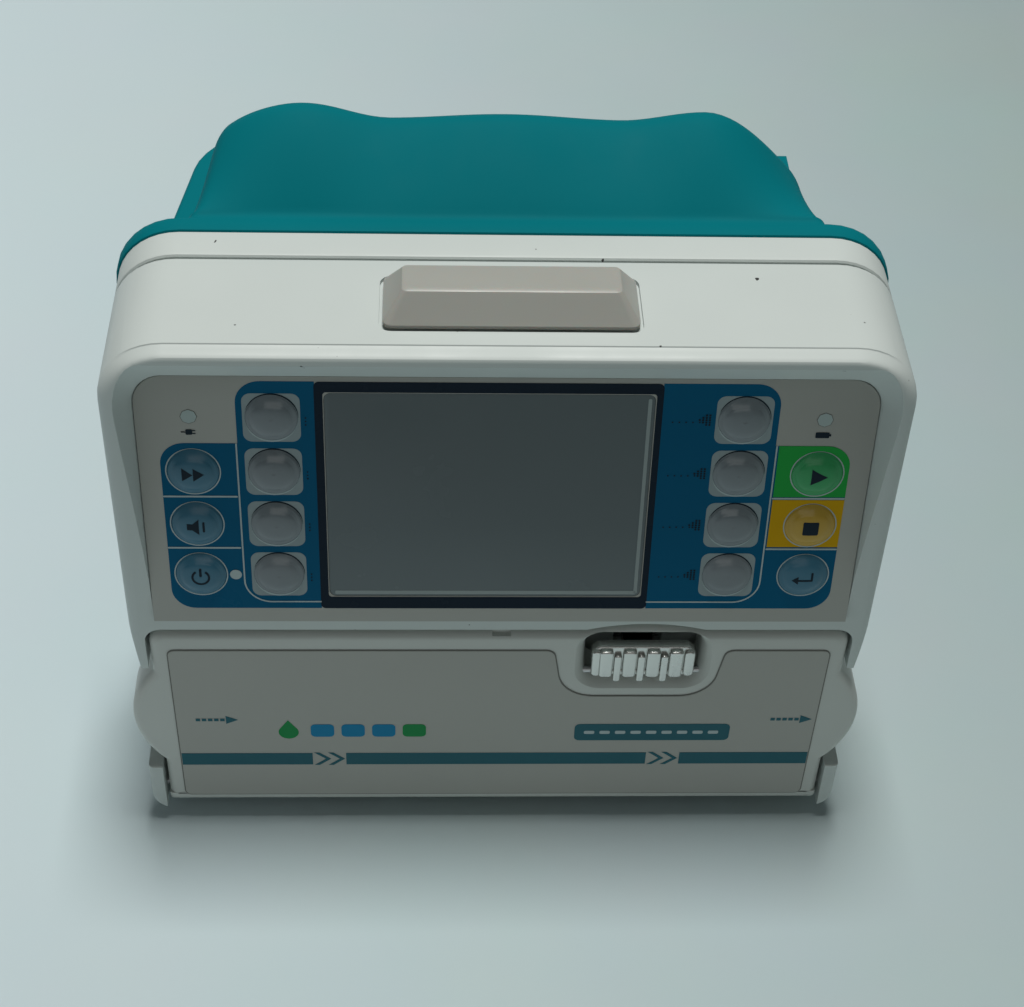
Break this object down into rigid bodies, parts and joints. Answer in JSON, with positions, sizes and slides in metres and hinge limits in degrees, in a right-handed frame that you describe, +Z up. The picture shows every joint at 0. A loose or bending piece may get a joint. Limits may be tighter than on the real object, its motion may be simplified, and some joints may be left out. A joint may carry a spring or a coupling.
{
  "type": "infusion pump",
  "caption": "Bench or pole mounted infusion pump with a sloped key panel, a drop-down door over a finger pump, a rear carrying hump and a pole clamp.",
  "frame": {"origin": "on the surface under the feet, midway between the sides and midway in overall depth, clamp included", "axes": "+Z up, +X to the pump's right as seen from the front, +Y to its back"},
  "size_m": [0.18, 0.1402, 0.1691],
  "materials": {
    "housing_white": "glossy off-white moulded plastic",
    "housing_teal": "glossy teal moulded plastic",
    "membrane": "printed grey-beige membrane with blue, green and amber fields",
    "door_membrane": "printed grey-beige membrane with a teal stripe",
    "door_white": "off-white moulded plastic",
    "bezel_black": "black printed frame",
    "window_clear": "clear window over the unlit screen",
    "metal_grey": "stamped metal can of the display",
    "circuit_board": "solder-masked board",
    "beacon_lens": "milky translucent lens",
    "nylon": "natural nylon",
    "nylon_dark": "dark engineering plastic",
    "steel": "ground steel",
    "chrome": "polished chrome",
    "pulley": "turned aluminium",
    "aluminium": "bent and drilled aluminium plate",
    "motor": "black painted metal",
    "rubber": "black rubber",
    "supply": "supply board with transformer",
    "battery": "shrink-wrapped battery cells",
    "black_plastic": "black moulded plastic",
    "sensor": "moulded sensor housing",
    "clamp_grey": "grey painted casting",
    "key_smoke": "smoke-grey domed key",
    "key_blue": "blue domed key",
    "key_green": "green domed key",
    "key_amber": "amber domed key"
  },
  "bodies": {
    "casing": {"front_housing": "housing_white", "middle_frame": "housing_white", "rear_housing": "housing_teal", "key_membrane": "membrane", "screen_bezel": "bezel_black", "screen_window": "window_clear", "screen_module": "metal_grey", "key_board": "circuit_board", "beacon_lens": "beacon_lens", "beacon_board": "circuit_board", "door_hinge_pin": "steel", "latch_striker": "steel", "camshaft_bearings": "steel", "finger_guide": "nylon_dark", "pump_chassis": "aluminium", "stepper_motor": "motor", "timing_belt": "rubber", "main_board": "circuit_board", "power_supply": "supply", "battery_pack": "battery", "speaker": "motor", "mains_inlet": "black_plastic", "bubble_sensor": "sensor", "pressure_sensor": "sensor", "feet": "rubber", "case_screws": "steel", "clamp_body": "clamp_grey"},
    "door": {"door_shell": "door_white", "door_membrane": "door_membrane", "latch_pin": "steel"},
    "latch": {"latch_lever": "chrome"},
    "platen": {"door_platen": "nylon"},
    "camshaft": {"camshaft": "steel", "driven_pulley": "pulley"},
    "motor_shaft": {"motor_pulley": "pulley"},
    "clamp_jaw": {"clamp_jaw": "clamp_grey"},
    "clamp_screw": {"clamp_screw": "black_plastic"},
    "key_left_1": {"key_left_1": "key_smoke"},
    "key_right_1": {"key_right_1": "key_smoke"},
    "key_left_2": {"key_left_2": "key_smoke"},
    "key_right_2": {"key_right_2": "key_smoke"},
    "key_left_3": {"key_left_3": "key_smoke"},
    "key_right_3": {"key_right_3": "key_smoke"},
    "key_left_4": {"key_left_4": "key_smoke"},
    "key_right_4": {"key_right_4": "key_smoke"},
    "key_bolus": {"key_bolus": "key_blue"},
    "key_silence": {"key_silence": "key_blue"},
    "key_power": {"key_power": "key_blue"},
    "key_enter": {"key_enter": "key_blue"},
    "key_start": {"key_start": "key_green"},
    "key_stop": {"key_stop": "key_amber"},
    "finger_1": {"finger_1": "nylon"},
    "finger_2": {"finger_2": "nylon"},
    "finger_3": {"finger_3": "nylon"},
    "finger_4": {"finger_4": "nylon"},
    "finger_5": {"finger_5": "nylon"},
    "finger_6": {"finger_6": "nylon"},
    "finger_7": {"finger_7": "nylon"},
    "finger_8": {"finger_8": "nylon"}
  },
  "joints": [
    {"name": "door_open", "type": "hinge", "parent": "casing", "child": "door", "pos_m": [0, -0.0642, 0.0092], "axis": [1, 0, 0], "range_deg": [0, 90]},
    {"name": "latch_release", "type": "hinge", "parent": "door", "child": "latch", "pos_m": [0.0344, -0.0664, 0.0549], "axis": [1, 0, 0], "range_deg": [0, 18], "stiffness_Nm_per_rad": 0.05, "springref_deg": -11.46},
    {"name": "platen_press", "type": "slide", "parent": "door", "child": "platen", "axis": [0, -1, 0], "range_m": [0, 0.001], "stiffness_N_per_m": 3000, "springref_m": -0.0003},
    {"name": "key_left_1_press", "type": "slide", "parent": "casing", "child": "key_left_1", "axis": [0, 0.9877, -0.1564], "range_m": [0, 0.0005], "stiffness_N_per_m": 2500, "springref_m": -0.0001},
    {"name": "key_right_1_press", "type": "slide", "parent": "casing", "child": "key_right_1", "axis": [0, 0.9877, -0.1564], "range_m": [0, 0.0005], "stiffness_N_per_m": 2500, "springref_m": -0.0001},
    {"name": "key_left_2_press", "type": "slide", "parent": "casing", "child": "key_left_2", "axis": [0, 0.9877, -0.1564], "range_m": [0, 0.0005], "stiffness_N_per_m": 2500, "springref_m": -0.0001},
    {"name": "key_right_2_press", "type": "slide", "parent": "casing", "child": "key_right_2", "axis": [0, 0.9877, -0.1564], "range_m": [0, 0.0005], "stiffness_N_per_m": 2500, "springref_m": -0.0001},
    {"name": "key_left_3_press", "type": "slide", "parent": "casing", "child": "key_left_3", "axis": [0, 0.9877, -0.1564], "range_m": [0, 0.0005], "stiffness_N_per_m": 2500, "springref_m": -0.0001},
    {"name": "key_right_3_press", "type": "slide", "parent": "casing", "child": "key_right_3", "axis": [0, 0.9877, -0.1564], "range_m": [0, 0.0005], "stiffness_N_per_m": 2500, "springref_m": -0.0001},
    {"name": "key_left_4_press", "type": "slide", "parent": "casing", "child": "key_left_4", "axis": [0, 0.9877, -0.1564], "range_m": [0, 0.0005], "stiffness_N_per_m": 2500, "springref_m": -0.0001},
    {"name": "key_right_4_press", "type": "slide", "parent": "casing", "child": "key_right_4", "axis": [0, 0.9877, -0.1564], "range_m": [0, 0.0005], "stiffness_N_per_m": 2500, "springref_m": -0.0001},
    {"name": "key_bolus_press", "type": "slide", "parent": "casing", "child": "key_bolus", "axis": [0, 0.9877, -0.1564], "range_m": [0, 0.0005], "stiffness_N_per_m": 2500, "springref_m": -0.0001},
    {"name": "key_silence_press", "type": "slide", "parent": "casing", "child": "key_silence", "axis": [0, 0.9877, -0.1564], "range_m": [0, 0.0005], "stiffness_N_per_m": 2500, "springref_m": -0.0001},
    {"name": "key_power_press", "type": "slide", "parent": "casing", "child": "key_power", "axis": [0, 0.9877, -0.1564], "range_m": [0, 0.0005], "stiffness_N_per_m": 2500, "springref_m": -0.0001},
    {"name": "key_enter_press", "type": "slide", "parent": "casing", "child": "key_enter", "axis": [0, 0.9877, -0.1564], "range_m": [0, 0.0005], "stiffness_N_per_m": 2500, "springref_m": -0.0001},
    {"name": "key_start_press", "type": "slide", "parent": "casing", "child": "key_start", "axis": [0, 0.9877, -0.1564], "range_m": [0, 0.0005], "stiffness_N_per_m": 2500, "springref_m": -0.0001},
    {"name": "key_stop_press", "type": "slide", "parent": "casing", "child": "key_stop", "axis": [0, 0.9877, -0.1564], "range_m": [0, 0.0005], "stiffness_N_per_m": 2500, "springref_m": -0.0001},
    {"name": "camshaft_turn", "type": "hinge", "parent": "casing", "child": "camshaft", "pos_m": [0, -0.0274, 0.0392], "axis": [1, 0, 0], "continuous": true},
    {"name": "motor_turn", "type": "hinge", "parent": "casing", "child": "motor_shaft", "pos_m": [0, 0.0086, 0.0392], "axis": [1, 0, 0], "continuous": true},
    {"name": "finger_1_stroke", "type": "slide", "parent": "casing", "child": "finger_1", "axis": [0, -1, 0], "range_m": [0, 0.0015], "stiffness_N_per_m": 400, "springref_m": -0.0002},
    {"name": "finger_2_stroke", "type": "slide", "parent": "casing", "child": "finger_2", "axis": [0, -1, 0], "range_m": [0, 0.0015], "stiffness_N_per_m": 400, "springref_m": -0.0002},
    {"name": "finger_3_stroke", "type": "slide", "parent": "casing", "child": "finger_3", "axis": [0, -1, 0], "range_m": [0, 0.0015], "stiffness_N_per_m": 400, "springref_m": -0.0002},
    {"name": "finger_4_stroke", "type": "slide", "parent": "casing", "child": "finger_4", "axis": [0, -1, 0], "range_m": [0, 0.0015], "stiffness_N_per_m": 400, "springref_m": -0.0002},
    {"name": "finger_5_stroke", "type": "slide", "parent": "casing", "child": "finger_5", "axis": [0, -1, 0], "range_m": [0, 0.0015], "stiffness_N_per_m": 400, "springref_m": -0.0002},
    {"name": "finger_6_stroke", "type": "slide", "parent": "casing", "child": "finger_6", "axis": [0, -1, 0], "range_m": [0, 0.0015], "stiffness_N_per_m": 400, "springref_m": -0.0002},
    {"name": "finger_7_stroke", "type": "slide", "parent": "casing", "child": "finger_7", "axis": [0, -1, 0], "range_m": [0, 0.0015], "stiffness_N_per_m": 400, "springref_m": -0.0002},
    {"name": "finger_8_stroke", "type": "slide", "parent": "casing", "child": "finger_8", "axis": [0, -1, 0], "range_m": [0, 0.0015], "stiffness_N_per_m": 400, "springref_m": -0.0002},
    {"name": "clamp_jaw_slide", "type": "slide", "parent": "casing", "child": "clamp_jaw", "axis": [-1, 0, 0], "range_m": [0, 0.01]},
    {"name": "clamp_screw_turn", "type": "hinge", "parent": "clamp_jaw", "child": "clamp_screw", "pos_m": [0, 0.0556, 0.078], "axis": [-1, 0, 0], "range_deg": [0, 1801]}
  ],
  "couplings": [
    {"joint": "motor_turn", "follows": "camshaft_turn", "ratio": 2},
    {"joint": "clamp_screw_turn", "follows": "clamp_jaw_slide", "rad_per_m": 3141.6}
  ]
}
